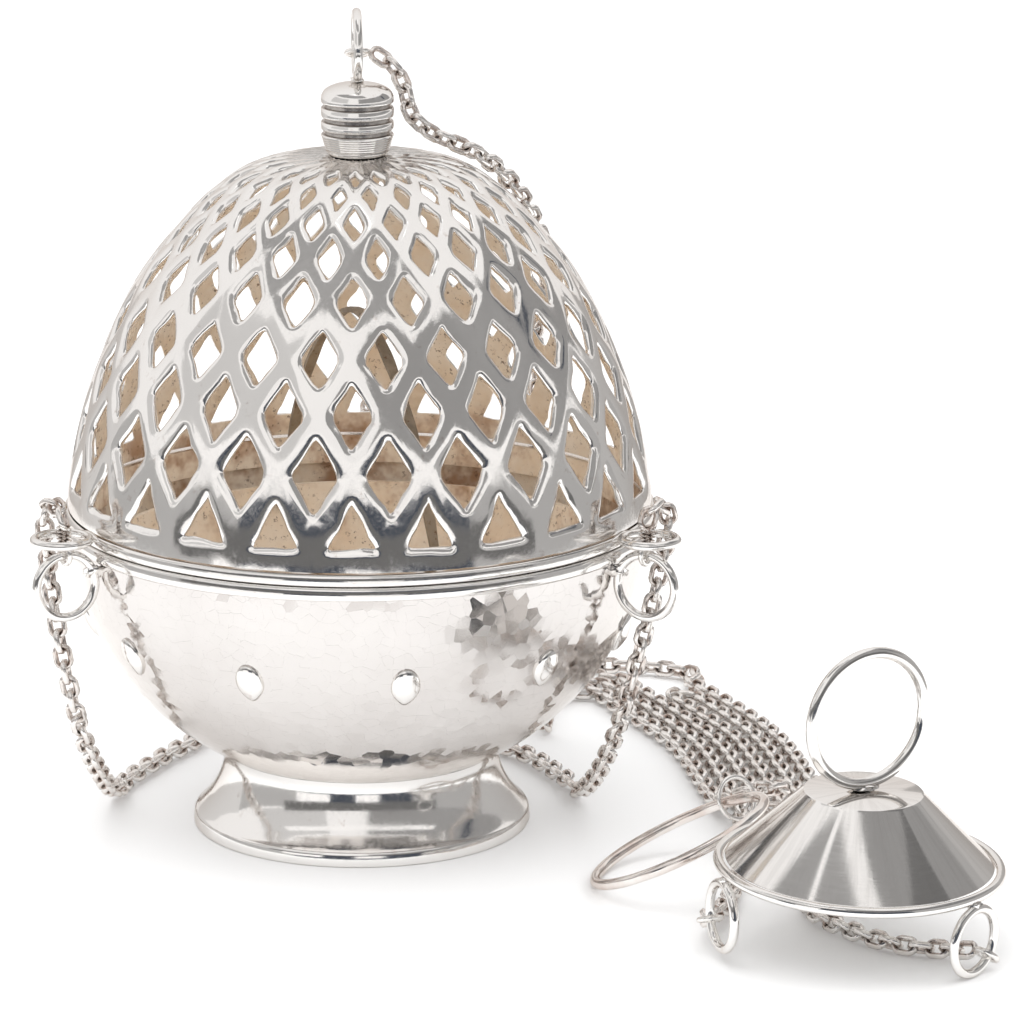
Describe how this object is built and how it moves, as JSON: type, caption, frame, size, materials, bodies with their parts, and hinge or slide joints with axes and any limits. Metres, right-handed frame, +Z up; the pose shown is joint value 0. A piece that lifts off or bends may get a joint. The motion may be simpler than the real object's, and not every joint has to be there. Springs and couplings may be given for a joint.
{
  "type": "thurible",
  "caption": "Hanging silver thurible: hammered bowl on a spool foot, pierced egg-shaped lid, fire pan with bail, and chains gathered to a conical boss and pull ring.",
  "frame": {"origin": "on the table, at the middle of the foot ring", "axes": "+Z up along the axis of bowl, lid and finial; +X towards the laid-out chains and the boss; +Y away from the camera"},
  "size_m": [0.2081, 0.2422, 0.1846],
  "materials": {
    "polished_silver": "polished silver, lightly tarnished in the corners",
    "hammered_silver": "planished silver with small flat hammer marks",
    "brushed_silver": "brushed silver with dull streaks",
    "worn_silver": "worn silver wire, brown with tarnish between the links",
    "sooty_silver": "heat-stained metal, tan and brown with soot and resin"
  },
  "bodies": {
    "base": {"foot": "polished_silver", "bowl": "hammered_silver", "bowl_rim": "polished_silver", "bowl_ring_1": "polished_silver", "bowl_ring_2": "polished_silver", "bowl_ring_3": "polished_silver", "boss_cone": "brushed_silver", "boss_rim": "polished_silver", "boss_ring": "polished_silver", "boss_eye_1": "polished_silver", "boss_eye_2": "polished_silver", "boss_eye_3": "polished_silver", "jump_ring": "worn_silver", "bowl_link_1": "worn_silver", "chain_riser_1": "worn_silver", "chain_fall_1": "worn_silver", "chain_run_1": "worn_silver", "boss_link_1": "worn_silver", "bowl_link_2": "worn_silver", "chain_riser_2": "worn_silver", "chain_fall_2": "worn_silver", "chain_run_2": "worn_silver", "boss_link_2": "worn_silver", "bowl_link_3": "worn_silver", "chain_riser_3": "worn_silver", "chain_fall_3": "worn_silver", "chain_run_3": "worn_silver", "boss_link_3": "worn_silver", "lid_chain_fall": "worn_silver", "lid_chain_run": "worn_silver"},
    "lid": {"lid_rim": "polished_silver", "lid_dome": "polished_silver", "lid_ring_1": "polished_silver", "lid_ring_2": "polished_silver", "lid_ring_3": "polished_silver", "finial": "polished_silver", "lid_eye": "polished_silver", "eye_link": "worn_silver", "lid_chain_drape": "worn_silver"},
    "pan": {"fire_pan": "sooty_silver"},
    "bail": {"bail": "sooty_silver"},
    "pull_ring": {"pull_ring": "worn_silver"}
  },
  "joints": [
    {"name": "lid_lift", "type": "slide", "parent": "base", "child": "lid", "axis": [0, 0, 1], "range_m": [0, 0.05], "deforming": ["chain_fall_1", "chain_fall_2", "chain_fall_3", "lid_chain_fall", "chain_riser_1", "chain_riser_2", "chain_riser_3"]},
    {"name": "pan_lift", "type": "slide", "parent": "base", "child": "pan", "axis": [0, 0, 1], "range_m": [0, 0.02]},
    {"name": "bail_swing", "type": "hinge", "parent": "pan", "child": "bail", "pos_m": [0, 0, 0.06], "axis": [0.3584, -0.9336, 0], "range_deg": [-75, 75]},
    {"name": "pull_ring_swing", "type": "hinge", "parent": "base", "child": "pull_ring", "pos_m": [0.0813, -0.03328, 0.01385], "axis": [-0.7217, 0.561, -0.4055], "range_deg": [0, 80]}
  ]
}
